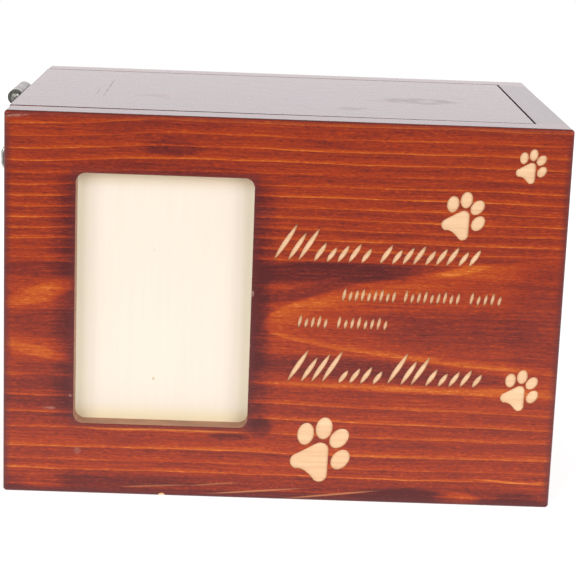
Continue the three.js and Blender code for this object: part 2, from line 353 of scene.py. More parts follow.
@dataclass(frozen=True)
class StainedPine:
    """Softwood under a red-brown stain and a half-gloss lacquer, plain-sawn round a leaning pith."""

    name: str
    lie: Lie
    seed: float
    pith_across: float = 0
    pith_depth: float = 55
    pith_lean: float = 0.12
    year: float = 5
    shade: float = 0
    wander: float = 1.6
    ior: float = 1.4
    end_grain: float = 0.4
    top_dulled: float = 0
    # share of the painted shade that darkens the top faces
    top_painted_shade: float = 0.75

    STAIN = (
        (0.0, (0.070, 0.0090, 0.0085)),
        (0.25, (0.160, 0.0170, 0.0090)),
        (0.5, (0.290, 0.0310, 0.0060)),
        (0.75, (0.400, 0.0740, 0.0070)),
        (1.0, (0.560, 0.1750, 0.0300)),
    )
    DARK_EDGE = (0.090, 0.0180, 0.0180)
    # painted shade: the colour that darkens the box's top faces, standing in for the shade on the tops
    TOP_PAINTED_SHADE = (0.050, 0.0240, 0.0260)
    # painted shadow in the gap round the lid
    SEAM_SHADOW = (0.012, 0.0060, 0.0060)
    RUBBED = (0.420, 0.2600, 0.2000)
    YEARS_AT_PITH = 40
    QUICK_WANDER = 0.35
    EDGE_REACH = (0.4, 3.4)
    EDGE_DARK = 0.75
    UPPER_EDGE = (132, 138)
    UPPER_EDGE_EASED = 0.4
    EDGE_RAGGED = 0.9
    HALF_SEAM = 0.25
    SEAM_EDGE = (0.6, 0.9)
    SEAM_DEPTH = (1.2, 0.9)
    SEAM_FADE = (-70, 60)
    RIGHT_SEAM_SHADOW = 0.6
    END_FACE = (0.4, 0.05)
    TOP_FACE = (0.5, 0.05)
    NEAR_TOP = (0.8, 0.1)
    ROUGHNESS = 0.27
    FIBRE_RELIEF = 0.03
    RIPPLE_RELIEF = 0.01

    def grain(self, graph: Graph) -> Grain:
        """Reads a board's own directions, with the slow and the quick wander of its fibres."""
        along, across, depth = (getattr(graph, axis) for axis in self.lie.value)
        slow = graph.noise(along / 60 + self.seed, across / 24, depth / 40)
        quick = graph.noise(along / 14 + self.seed, across / 1.6, depth / 3)
        return Grain(along, across + slow * self.wander + quick * self.QUICK_WANDER, depth)

    def lines(self, graph: Graph, years: Value, along: Value) -> Value:
        """Bright lines that rise slowly over a year and end sharply.

        Args:
            graph: The material's graph.
            years: The number of years to a place.
            along: Place along the grain.

        Returns:
            The tone of the rings.
        """
        year = years.whole()
        strength = graph.chance(year) * 0.5 + 0.55
        patchy = graph.noise(along / 35 + self.seed, year * 3.7, 0) * 0.5 + 0.95
        climb = years.part()
        glow = climb ** 2.2 * 0.44 + climb ** 10 * 0.95
        return glow * climb.fall(0.95, 1) * strength * patchy - 0.22

    def figure(self, graph: Graph, grain: Grain) -> Value:
        """The tone of the rings, from -1, dark, to 1, orange."""
        side = grain.across - self.pith_across
        deep = grain.depth + grain.along * self.pith_lean + self.pith_depth
        years = (side * side + deep * deep) ** 0.5 / self.year + self.YEARS_AT_PITH
        return self.lines(graph, years, grain.along)

    def fibres(self, graph: Graph, grain: Grain) -> Value:
        """Fine streaks along the grain, with short dark and pale dashes among them."""
        along, across, depth = grain.along, grain.across, grain.depth
        fine = graph.noise(along / 22, across / 0.75, depth, detail=3, roughness=0.7)
        broad = graph.noise(along / 55 + self.seed, across / 3, depth / 7)
        dashes = graph.noise(along / 1.8, across / 0.5 + self.seed, depth / 0.6)
        pores = dashes.rise(0.1, 0.45) * 0.36 - dashes.fall(-0.45, -0.1) * 0.3
        return fine * 0.66 + broad * 0.32 - pores

    def edge(self, graph: Graph) -> Value:
        """Distance to the nearest outer edge of the box, in millimetres."""
        high = BOX[1] / MM
        beside, ahead = high.x - abs(graph.x), high.y - abs(graph.y)
        level = graph.z.least(high.z - graph.z)
        return beside.least(ahead).most(beside.most(ahead).least(level))

    def seam_shadow(self, graph: Graph) -> Value:
        """The painted shadow in the gap round the lid: a dark line, clear at the right and the front left,
        faint at the front right.
        """
        high = box_of("lid")[1] / MM
        beside = graph.x - high.x - self.HALF_SEAM
        ahead = abs(graph.y) - high.y - self.HALF_SEAM
        close = abs(beside.most(ahead)).fall(*self.SEAM_EDGE) * graph.z.near(high.z, *self.SEAM_DEPTH)
        front_left = graph.x.fall(*self.SEAM_FADE) * graph.y.fall(0, 1)
        right = beside.rise(-2, -1) * self.RIGHT_SEAM_SHADOW
        return close * (front_left + right).least(1)

    def stain(self, graph: Graph, tone: Value) -> Socket:
        """The stain's colour for a tone from -1 to 1."""
        return graph.ramp(tone * 0.5 + 0.5, self.STAIN)

    def marks(self, graph: Graph, colour: Socket) -> Socket:
        """The board's own marks on top of the stain; a plain board has none."""
        return colour

    def wear(self, graph: Graph) -> tuple[Value | float, Value | float]:
        """How much the board's lacquer is dulled, and how deep it is scratched in millimetres."""
        return 0, 0

    def material(self) -> Material:
        """Draws the finish."""
        graph = Graph(self.name)
        grain = self.grain(graph)
        fibres = self.fibres(graph, grain)
        high = BOX[1] / MM
        end_face = abs(graph.x).near(high.x, *self.END_FACE)
        top_face = graph.z.near(high.z, *self.TOP_FACE)
        near_top = graph.z.near(high.z, *self.NEAR_TOP)
        tone = self.figure(graph, grain) + fibres + self.shade - end_face * self.end_grain
        ragged = self.edge(graph) + graph.cloud(5, 3) * self.EDGE_RAGGED
        eased = graph.z.rise(*self.UPPER_EDGE) * self.UPPER_EDGE_EASED
        darkened = ragged.fall(*self.EDGE_REACH) * (self.EDGE_DARK - eased)
        colour = graph.mix(darkened, self.stain(graph, tone), self.DARK_EDGE)
        # painted shade darkens the top faces
        colour = graph.mix(top_face * self.top_painted_shade, colour, self.TOP_PAINTED_SHADE)
        # painted shadow along the lid's gap
        colour = graph.mix(self.seam_shadow(graph), colour, self.SEAM_SHADOW)
        colour = self.marks(graph, colour)
        worn = graph.cloud(26, 4).rise(0.25, 0.6)
        dull, scratch = self.wear(graph)
        roughness = fibres * 0.03 + worn * 0.08 + near_top * self.top_dulled + self.ROUGHNESS + dull
        smoothed = fibres * (1 - near_top * 0.95)
        relief = smoothed * self.FIBRE_RELIEF + graph.cloud(6) * self.RIPPLE_RELIEF - scratch
        return graph.surface(colour, roughness, relief, {"IOR": self.ior})


@dataclass(frozen=True)
class FrontPine(StainedPine):
    """The front board: level rings above and below a pointed tongue of plain-sawn figure."""

    wander: float = 0.9
    ior: float = 1.37
    tongue_tip: Point = (-7.5, 65.5)
    tongue_top: float = 2.77
    tongue_foot: float = 1.48

    TAN = (0.480, 0.1900, 0.0750)
    WINDOW_SHADE = 0.65
    BESIDE_WINDOW = (0, 11)
    ALONG_WINDOW = (-3, 5)
    WINDOW_STAIN = (0, 3)
    WINDOW_STAIN_SHARE = 0.6
    FOOT = (1, 9)
    FOOT_SHADE = 0.52
    PLAIN_FOOT = (44, 46)
    PLAIN_TOP = (86, 89.5)
    DROP = 2.8
    DROP_ALONG = (-95, -35)
    DROP_ACROSS = (84, 90)
    SAG = 0.03
    SAG_FROM = -10
    SAG_FOOT = 17
    SAG_SPAN = 26
    SAG_TOP = (44, 60)

    RINGS = Rings((
        143, 138.2, 133.7, 129.2, 124.9, 120.7, 116.5, 112.5, 108.6, 104.7, 100.9, 97.2, 93.5, 89.8,
        42.9, 36.4, 30.4, 24.8, 17.5, 12.7, 9.2, 3,
    ))
    LENSES = (
        Lens(-86, 75.0, 15, 3.8, 0.30, 0.52),
        Lens(-88, 53.4, 14, 2.5, -0.22, 0.45),
        Lens(-87, 83.5, 18, 3.2, 0.0, -0.45),
        Lens(-85, 64.0, 18, 6.0, 0.0, -0.30),
        Lens(-84, 46.5, 16, 3.4, 0.0, -0.35),
        Lens(-41, 128.5, 12, 3.0, 0.0, -0.45),
        Lens(-45, 121.3, 34, 2.2, 0.0, -0.30),
        Lens(14, 85.8, 40, 4.4, 0.05, -0.75),
        Lens(-11, 68.0, 7, 22.0, 0.0, -0.30),
        Lens(20, 80.5, 34, 3.0, 0.17, -0.40),
        # painted shade: the low left of the front is darkened
        Lens(-88, 36.0, 16, 10.0, 0.0, -0.22),
        Lens(30, 50.0, 60, 5.0, -0.05, -0.55),
        Lens(64, 88.2, 10, 1.8, 0.20, 0.45),
        Lens(62, 66.0, 34, 8.0, 0.0, -0.30),
        Lens(92, 70.0, 14, 26.0, 0.0, -0.22),
        Lens(-18, 23.2, 8, 1.6, 0.0, -0.50),
        Lens(46, 3.0, 20, 3.4, 0.0, -0.70),
        Lens(-60, 5.0, 40, 2.4, 0.0, -0.35),
        Lens(65, 2.6, 10, 3.0, 0.0, 0.70),
        Lens(88, 3.0, 9, 3.0, 0.0, -0.35),
        Lens(-86, 4.5, 9, 4.0, 0.0, 0.40),
        Lens(85, 9.6, 16, 0.5, -0.06, 0.70),
        Lens(-7, 27.5, 5, 4.0, 0.0, -0.60),
        Lens(-43, 25.0, 33, 0.7, 0.0, 0.80),
    )
    STREAKS = (
        Lens(-45, 3.8, 13, 0.38, 0.06, 0.35),
        Lens(-23, 5.2, 10, 0.38, 0.10, 0.35),
        Lens(-8, 3.0, 18, 0.38, 0.09, 0.60),
        Lens(20, 2.6, 18, 0.38, 0.12, 0.60),
    )
    SCUFFS = (
        Lens(-83, 32.2, 2.8, 0.7, 0.0, 0.30),
        Lens(-73, 16.4, 1.4, 1.5, 0.0, 0.25),
        Lens(-11.3, 77.2, 0.7, 1.3, 0.0, 0.7),
        Lens(-11.6, 58.0, 0.5, 0.6, 0.0, 0.6),
        Lens(-11.8, 50.4, 0.5, 0.8, 0.0, 0.6),
        Lens(-75.8, 37.2, 0.6, 0.6, 0.0, 0.5),
        Lens(-96, 138.2, 5.0, 0.5, 0.1, 0.5),
    )

    def tongue(self, grain: Grain) -> tuple[Value, Value]:
        """How much of the tongue is at a place, and its tone there."""
        ahead = grain.along - self.tongue_tip[0]
        spread = ahead.most(0) ** 0.5
        under_top = spread * self.tongue_top + self.tongue_tip[1] - grain.across
        over_foot = spread * self.tongue_foot - self.tongue_tip[1] + grain.across
        cover = under_top.rise(-1, 1) * over_foot.rise(-0.4, 0.4) * ahead.rise(-1, 3)
        upper = under_top.fall(0, 12) * spread.fall(4, 12) * 0.62
        lower = over_foot.fall(0.2, 3.6) * 0.58
        return cover, upper.most(lower).most(ahead.fall(0, 30) * 0.26) - 0.06

    def window_shade(self, grain: Grain) -> Value:
        """How much darker the wood is that stands beside the window, from 0 to 1."""
        (left, low), (right, high) = CarvedFront.WINDOW
        beside = (left - grain.along).most(grain.along - right)
        level = (grain.across - low).least(high - grain.across)
        return beside.fall(*self.BESIDE_WINDOW) * level.rise(*self.ALONG_WINDOW)

    def figure(self, graph: Graph, grain: Grain) -> Value:
        """The tone of the rings, the tongue and the patches, from -1, dark, to 1, orange."""
        left_drop = grain.along.fall(*self.DROP_ALONG) * grain.across.rise(*self.DROP_ACROSS) * self.DROP
        above_foot = ((grain.across - self.SAG_FOOT) / self.SAG_SPAN).most(0).least(1)
        low_band = above_foot * grain.across.fall(*self.SAG_TOP)
        sag = grain.along.most(self.SAG_FROM) * low_band * self.SAG
        lines = self.lines(graph, self.RINGS.count(graph, grain.across + left_drop + sag), grain.along)
        between = grain.across.rise(*self.PLAIN_FOOT) * grain.across.fall(*self.PLAIN_TOP)
        cover, tone = self.tongue(grain)
        foot = grain.across.fall(*self.FOOT) * self.FOOT_SHADE
        tone = lines * (1 - between) * (1 - cover) + tone * cover - foot
        tone = tone - self.window_shade(grain) * self.WINDOW_SHADE
        for lens in self.LENSES:
            tone = tone + lens.cover(grain) * lens.tone
        return tone

    def marks(self, graph: Graph, colour: Socket) -> Socket:
        """Tan streaks along the foot, scuffs in the lacquer, and the dark stain round the window."""
        place = Grain(graph.x, graph.z, graph.y)
        for streak in self.STREAKS:
            colour = graph.mix(streak.cover(place) * streak.tone, colour, self.TAN)
        window = CarvedFront.window_distance(graph)
        ragged = window + graph.noise(graph.x / 4, 0, graph.z / 4, detail=3) * 0.8
        stained = ragged.fall(*self.WINDOW_STAIN) * self.WINDOW_STAIN_SHARE
        colour = graph.mix(stained, colour, self.DARK_EDGE)
        broken = graph.noise(graph.x / 1.6, 0, graph.z / 0.5, detail=4, roughness=0.7)
        for scuff in self.SCUFFS:
            cover = scuff.cover(place) * broken.rise(-0.35, 0.25)
            colour = graph.mix(cover * scuff.tone, colour, self.RUBBED)
        return colour


@dataclass(frozen=True)
class LidPine(StainedPine):
    """The lid's board: its lacquer is dulled where it was rubbed and scratched across the grain."""

    DULLED = (Lens(50, -6, 16, 10, 0, 0.1),)
    SCRATCHES = (Lens(-69.4, 2, 0.4, 29, 0, 0.06), Lens(-72.5, -12, 0.3, 16, 0, 0.04))
    SCRATCH_DULL = 2

    def wear(self, graph: Graph) -> tuple[Value | float, Value | float]:
        """How much the lid's lacquer is dulled, and how deep it is scratched in millimetres."""
        place = Grain(graph.x, graph.y, graph.z)
        patchy = graph.noise(graph.x / 7, graph.y / 5, 0, detail=4).rise(-0.4, 0.5)
        dull = sum(patch.cover(place) * patch.tone for patch in self.DULLED) * patchy
        broken = graph.noise(graph.x / 3, graph.y / 5, 0).rise(-0.3, 0.2)
        scratch = sum(line.cover(place) * line.tone for line in self.SCRATCHES) * broken
        return dull + scratch * self.SCRATCH_DULL, scratch


@dataclass(frozen=True)
class BareWood:
    """Wood with no stain on it, pale or scorched: light and dark streaks along one axis."""

    name: str
    light: Colour
    dark: Colour
    streak: tuple[float, float, float]
    roughness: float = 0.75
    relief: float = 0.03
    contrast: float = 1

    IOR = 1.4

    def marks(self, graph: Graph, colour: Socket) -> Socket:
        """The wood's own marks; plain wood has none."""
        return colour

    def material(self) -> Material:
        """Draws the finish."""
        graph = Graph(self.name)
        stretched = (getattr(graph, axis) / length for axis, length in zip("xyz", self.streak))
        streaks = graph.noise(*stretched, detail=3, roughness=0.6)
        shade = (streaks * 0.5 + graph.cloud(25) * 0.25 + 0.4) * self.contrast
        colour = graph.mix(shade.most(0).least(1), self.light, self.dark)
        colour = self.marks(graph, colour)
        roughness = streaks * 0.05 + self.roughness
        return graph.surface(colour, roughness, streaks * self.relief, {"IOR": self.IOR})


@dataclass(frozen=True)
class BackingWood(BareWood):
    """The panel behind the window: two pin knots, and painted light along its side margins, head and foot.
    """

    contrast: float = 0.35

    KNOTS = (Lens(-46.3, 42.5, 0.55, 0.75, 0, 0.6), Lens(-46.9, 90.4, 0.55, 0.75, 0, 0.22))
    KNOT = (0.45, 0.30, 0.16)
    # painted light: lighter, warmer tones along the margins, set against the shade that the window's lip
    # casts
    SIDE_MARGIN_PAINTED_LIGHT = (0.77, 0.725, 0.565)
    HEAD_MARGIN_PAINTED_LIGHT = (0.79, 0.68, 0.485)
    FOOT_MARGIN_PAINTED_LIGHT = (0.70, 0.60, 0.40)
    MARGIN = 7

    def marks(self, graph: Graph, colour: Socket) -> Socket:
        """The painted light along the window's margins, and the knots."""
        (left, low), (right, high) = CarvedFront.WINDOW
        margins = (
            ((graph.x - left).least(right - graph.x), self.SIDE_MARGIN_PAINTED_LIGHT),
            (high - graph.z, self.HEAD_MARGIN_PAINTED_LIGHT),
            (graph.z - low, self.FOOT_MARGIN_PAINTED_LIGHT),
        )
        # painted light along each margin
        for inside, tint in margins:
            colour = graph.mix(inside.fall(0, self.MARGIN), colour, tint)
        for knot in self.KNOTS:
            colour = graph.mix(knot.cover(Grain(graph.x, graph.z, graph.y)) * knot.tone, colour, self.KNOT)
        return colour


@dataclass(frozen=True)
class AntiqueBronze:
    """Darkened metal with a green-grey skin that is rubbed bright in places, with a painted highlight on the
    staple's loop.
    """

    name: str

    SKIN = (0.105, 0.103, 0.090)
    METAL = (0.700, 0.680, 0.620)
    GREEN = (0.180, 0.190, 0.165)
    LOOP_END = (-110, -106)
    HANDLED_AND_HIGHLIGHT = 0.6
    ROUGHNESS = 0.34
    LEAST_METALLIC = 0.6
    IOR = 1.5

    def material(self) -> Material:
        """Draws the finish."""
        graph = Graph(self.name)
        cloud = graph.cloud(3, 5, 0.65)
        grit = graph.cloud(0.5, 3)
        # painted highlight and polish: the staple's loop is made brighter metal
        handled_and_highlight = graph.x.fall(*self.LOOP_END) * self.HANDLED_AND_HIGHLIGHT
        # rubbed wear, carrying the loop's painted highlight with it
        rubbed = (cloud + grit * 0.4 + handled_and_highlight).rise(0.0, 0.75)
        skin = graph.mix(grit.rise(-0.2, 0.8), self.SKIN, self.GREEN)
        colour = graph.mix(rubbed * 0.85, skin, self.METAL)
        roughness = self.ROUGHNESS - rubbed * 0.12 + grit * 0.05
        relief = grit * 0.02 + cloud * 0.03
        metallic = rubbed * 0.35 + self.LEAST_METALLIC
        return graph.surface(colour, roughness, relief, {"IOR": self.IOR}, metallic)


class Selecting(Enum):
    """What edit mode selects."""

    EDGES = ("EDGE", "edges")
    FACES = ("FACE", "faces")
    VERTICES = ("VERT", "verts")


def take(piece: Piece) -> None:
    """Makes a piece the only selected and active object."""
    bpy.ops.object.select_all(action="DESELECT")
    piece.select_set(True)
    bpy.context.view_layer.objects.active = piece


@contextmanager
def editing(piece: Piece, what: Selecting) -> Iterator[None]:
    """Opens a piece in edit mode with nothing selected, and closes it again."""
    take(piece)
    bpy.ops.object.mode_set(mode="EDIT")
    bpy.ops.mesh.select_mode(type=what.value[0])
    bpy.ops.mesh.select_all(action="DESELECT")
    yield
    bpy.ops.object.mode_set(mode="OBJECT")


def pick(piece: Piece, what: Selecting, wanted: Callable[..., bool]) -> int:
    """Selects what is wanted of a piece in edit mode.

    Args:
        piece: The piece in edit mode.
        what: Edges, faces or vertices.
        wanted: Says of each one whether it is selected.

    Returns:
        How many are selected.
    """
    mesh = bmesh.from_edit_mesh(piece.data)
    chosen = [element for element in getattr(mesh, what.value[1]) if wanted(element)]
    for element in chosen:
        element.select_set(True)
    bmesh.update_edit_mesh(piece.data)
    return len(chosen)


def everything() -> None:
    """Selects all of the piece that is in edit mode."""
    bpy.ops.mesh.select_all(action="SELECT")


def face_outwards() -> None:
    """Turns all faces of the piece that is in edit mode outwards."""
    everything()
    bpy.ops.mesh.normals_make_consistent(inside=False)


def placed(name: str) -> Piece:
    """Names the new object and moves its place into its mesh."""
    piece = bpy.context.object
    piece.name = piece.data.name = name
    bpy.ops.object.transform_apply(location=True, rotation=True, scale=True)
    return piece


def add(
    name: str, primitive: Callable[..., set[str]], scale: Sequence[float] = (1, 1, 1), **settings: object
) -> Piece:
    """Adds a primitive shape.

    Args:
        name: The new object's name.
        primitive: The operator that makes the shape.
        scale: How much the shape is stretched along each axis.
        settings: The operator's settings.

    Returns:
        The new object, at the origin.
    """
    bpy.ops.object.select_all(action="DESELECT")
    primitive(**settings)
    bpy.context.object.scale = scale
    return placed(name)


def block(name: str, low: Sequence[float], high: Sequence[float]) -> Piece:
    """Adds a square block between two corners.

    Args:
        name: The block's name.
        low: Its lowest corner.
        high: Its highest corner.

    Returns:
        The new object, at the origin.
    """
    low, high = Vector(low), Vector(high)
    return add(name, bpy.ops.mesh.primitive_cube_add, high - low, size=1, location=(low + high) / 2)


def rod(name: str, radius: float, low: float, high: float, centre: Point) -> Piece:
    """Adds a cylinder along Y.

    Args:
        name: The rod's name.
        radius: Its radius.
        low: Where it starts along Y.
        high: Where it ends.
        centre: The X and Z of its axis.

    Returns:
        The new object, at the origin.
    """
    middle = (centre[0], (low + high) / 2, centre[1])
    shape = {"vertices": ROD_SIDES, "radius": radius, "depth": high - low}
    return add(name, bpy.ops.mesh.primitive_cylinder_add, location=middle, rotation=(QUARTER, 0, 0), **shape)


def round_edges(piece: Piece, wanted: Callable[..., bool], radius: float, steps: int) -> None:
    """Rounds the chosen edges of a piece.

    Args:
        piece: The piece.
        wanted: Says of each edge whether it is rounded.
        radius: The rounding's radius.
        steps: Its number of segments.
    """
    with editing(piece, Selecting.EDGES):
        if pick(piece, Selecting.EDGES, wanted):
            settings = {"offset": radius, "segments": steps, "profile": 0.5}
            bpy.ops.mesh.bevel(affect="EDGES", clamp_overlap=True, **settings)


def is_square(edge: Edge) -> bool:
    """Whether an edge is a square corner."""
    return edge.is_manifold and edge.calc_face_angle(0) > SQUARE


def combine(piece: Piece, tools: Sequence[Piece], operation: str = "DIFFERENCE") -> None:
    """Cuts tools out of a piece, or joins them to it, and removes them.

    Args:
        piece: The piece that is changed.
        tools: The closed shapes to cut or join.
        operation: DIFFERENCE or UNION.
    """
    for tool in tools:
        take(piece)
        modifier = piece.modifiers.new("Combine", "BOOLEAN")
        modifier.operation = operation
        modifier.solver = "EXACT"
        modifier.object = tool
        bpy.ops.object.modifier_apply(modifier=modifier.name)
        bpy.data.objects.remove(tool)


def dress(piece: Piece, materials: Sequence[Material]) -> None:
    """Gives a piece its material slots."""
    piece.data.materials.clear()
    for material in materials:
        piece.data.materials.append(material)


def finish(piece: Piece, body: str, slot: str, smooth_below: float = 38) -> Piece:
    """Smooths a piece, hangs it on its body and lets it stand for the CAD node of its name.

    Args:
        piece: A finished mesh named after its piece.
        body: The CAD body that it moves with.
        slot: The name of a material slot; not used.
        smooth_below: Edges sharper than this many degrees stay sharp.

    Returns:
        The piece.
    """
    take(piece)
    bpy.ops.object.shade_smooth_by_angle(angle=math.radians(smooth_below))
    even = piece.modifiers.new("Even normals", "WEIGHTED_NORMAL")
    even.keep_sharp = True
    bpy.ops.object.modifier_apply(modifier=even.name)
    node = piece.name.removesuffix("_finish")
    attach(piece, body)
    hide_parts(node)
    log.info("%s: %d faces on body %s", piece.name, len(piece.data.polygons), body)
    return piece


def box_of(node: str) -> tuple[Vector, Vector]:
    """The lowest and highest corner of a CAD node."""
    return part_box(node)


WOODEN_NODES = ("front_board", "back_board", "left_end_board", "right_end_board")
CORNERS = [box_of(node) for node in WOODEN_NODES]
BOX = (
    Vector(min(low[axis] for low, _ in CORNERS) for axis in range(3)),
    Vector(max(high[axis] for _, high in CORNERS) for axis in range(3)),
)


@dataclass
class Carcass:
    """The boards: what they share, and the plain ones at the back, the ends and the bottom."""

    edge_round: float = 1.25 * MM
    edge_steps: int = 6
    arris: float = 0.14 * MM
    lid_gap: float = 0.5 * MM
    rim_round: float = 0.3 * MM
    soft_steps: int = 2

    def board(self, node: str) -> Piece:
        """A block of a board's size, its outer edges rounded where they are edges of the box."""
        piece = block(f"{node}_finish", *box_of(node))

        def outer(edge: Edge) -> bool:
            """Whether an edge lies in two of the box's outer faces."""
            return sum(self.on_box(edge, axis) for axis in range(3)) >= 2

        round_edges(piece, outer, self.edge_round, self.edge_steps)
        round_edges(piece, self.is_arris, self.arris, self.soft_steps)
        return piece

    @staticmethod
    def on_box(edge: Edge, axis: int) -> bool:
        """Whether an edge lies in one of the box's two outer faces across an axis."""
        return any(all(abs(v.co[axis] - side[axis]) < TOUCH for v in edge.verts) for side in BOX)

    def is_arris(self, edge: Edge) -> bool:
        """Whether an edge is a square corner where a board meets its neighbour on an outer face."""
        return is_square(edge) and any(self.on_box(edge, axis) for axis in range(3))

    def lid_recess(self) -> Piece:
        """The room that the lid is let into, open to the left and upwards."""
        low, high = box_of("lid")
        gap = self.lid_gap
        near = (low.x - PAST, low.y - gap, low.z)
        far = (high.x + gap, high.y + gap, high.z + PAST)
        return block("recess", near, far)

    def soften_recess(self, piece: Piece) -> None:
        """Rounds the recess's upper edges a little."""
        high = box_of("lid")[1]
        reach = self.lid_gap + TOUCH

        def upper(edge: Edge) -> bool:
            """Whether an edge lies in the box's top, along the recess."""
            middle = (edge.verts[0].co + edge.verts[1].co) / 2
            level = all(abs(v.co.z - BOX[1].z) < TOUCH for v in edge.verts)
            beside = abs(abs(middle.y) - high.y - self.lid_gap) < TOUCH and middle.x < high.x + reach
            ahead = abs(middle.x - high.x - self.lid_gap) < TOUCH and abs(middle.y) < high.y + reach
            return level and (beside or ahead)

        round_edges(piece, upper, self.rim_round, self.soft_steps)

    def build(self, finishes: dict[str, Material]) -> None:
        """Makes the plain boards.

        Args:
            finishes: A material for each node.
        """
        for node in ("back_board", "left_end_board", "right_end_board", "bottom_board"):
            piece = self.board(node)
            if node in ("back_board", "right_end_board"):
                combine(piece, [self.lid_recess()])
                self.soften_recess(piece)
            dress(piece, [finishes[node]])
            finish(piece, "box", "stained_pine")


@dataclass(frozen=True)
class Row:
    """A row of pointed strokes, word by word, in millimetres."""

    base: float
    height: float
    slant: float
    width: float
    pitch: float
    words: tuple[tuple[float, float, int], ...]
    tall_top: float = 0

    RHYTHM = (1, 0.78, 0.9)

    def strokes(self, steps: int) -> Iterator[list[Point]]:
        """The outline of each stroke: a leaf with two pointed ends that leans to the right."""
        for start, end, tall in self.words:
            count = round((end - start) / self.pitch)
            step = (end - start) / count
            for index in range(count):
                x = start + (index + 0.5) * step
                full = self.tall_top - self.base if index < tall else self.height
                yield self.leaf(x, full * self.RHYTHM[index % len(self.RHYTHM)], steps)

    def leaf(self, x: float, height: float, steps: int) -> list[Point]:
        """One stroke's outline, up its right side and down its left."""
        run = height * self.slant / 2
        foot, head = (x - run, self.base), (x + run, self.base + height)
        middle = self.base + height / 2
        right = curve(foot, (x + self.width, middle), head, steps)
        left = curve(head, (x - self.width, middle), foot, steps)
        return right[:-1] + left[:-1]


def curve(start: Point, control: Point, end: Point, steps: int) -> list[Point]:
    """Points of a quadratic curve, with both its ends."""
    shares = [index / steps for index in range(steps + 1)]
    return [
        tuple((1 - t) ** 2 * a + 2 * t * (1 - t) * c + t * t * b for a, c, b in zip(start, control, end))
        for t in shares
    ]


def arc(centre: Point, radius: float, start: float, end: float, steps: int) -> list[Point]:
    """Points of an arc, with both its ends."""
    turns = [start + (end - start) * index / steps for index in range(steps + 1)]
    return [(centre[0] + radius * math.cos(turn), centre[1] + radius * math.sin(turn)) for turn in turns]


@dataclass(frozen=True)
class Paw:
    """A paw print: where its pad lies on the front, in millimetres, and its scale."""

    x: float
    z: float
    scale: float

    LEAN = math.radians(31)
    TOE = (3.05, 4.25)
    TOES = ((-7.9, 7.6, -21), (-3.4, 13, -21), (3.3, 12.75, 9), (8, 6.2, 6))
    LOBE = 2.95
    PAD_TOP = 5.4
    PAD_SIDE = 4.6
    PAD_FOOT = -2.7
    DENT = (-1.5, -3.3)
    DENT_TURN = math.radians(12)

    def outlines(self, steps: int) -> Iterator[list[Point]]:
        """The outlines of the pad and the four toes, where they lie on the front."""
        cos, sin = math.cos(self.LEAN) * self.scale, math.sin(self.LEAN) * self.scale
        for outline in (self.pad(steps), *(self.toe(*toe, steps) for toe in self.TOES)):
            yield [(self.x + x * cos + y * sin, self.z - x * sin + y * cos) for x, y in outline]

    def toe(self, x: float, y: float, tilt: float, steps: int) -> list[Point]:
        """An upright print's toe, leaning to the right by its tilt."""
        cos, sin = math.cos(math.radians(tilt)), math.sin(math.radians(tilt))
        round_points = arc((0, 0), 1, 0, math.tau, 4 * steps)[:-1]
        ellipse = [(self.TOE[0] * a, self.TOE[1] * b) for a, b in round_points]
        return [(x + a * cos + b * sin, y - a * sin + b * cos) for a, b in ellipse]

    def pad(self, steps: int) -> list[Point]:
        """An upright print's pad: three round lobes, straight sides and a dent between its feet."""
        side = math.atan2(self.PAD_SIDE, self.PAD_TOP - self.PAD_FOOT)
        down = math.pi * 1.5
        top = arc((0, self.PAD_TOP), self.LOBE, side, math.pi - side, steps)
        left = arc((-self.PAD_SIDE, self.PAD_FOOT), self.LOBE, math.pi - side, down + self.DENT_TURN, steps)
        right = arc((self.PAD_SIDE, self.PAD_FOOT), self.LOBE, down - self.DENT_TURN, math.tau + side, steps)
        dent = curve(left[-1], self.DENT, right[0], steps)
        return top + left + dent[1:-1] + right


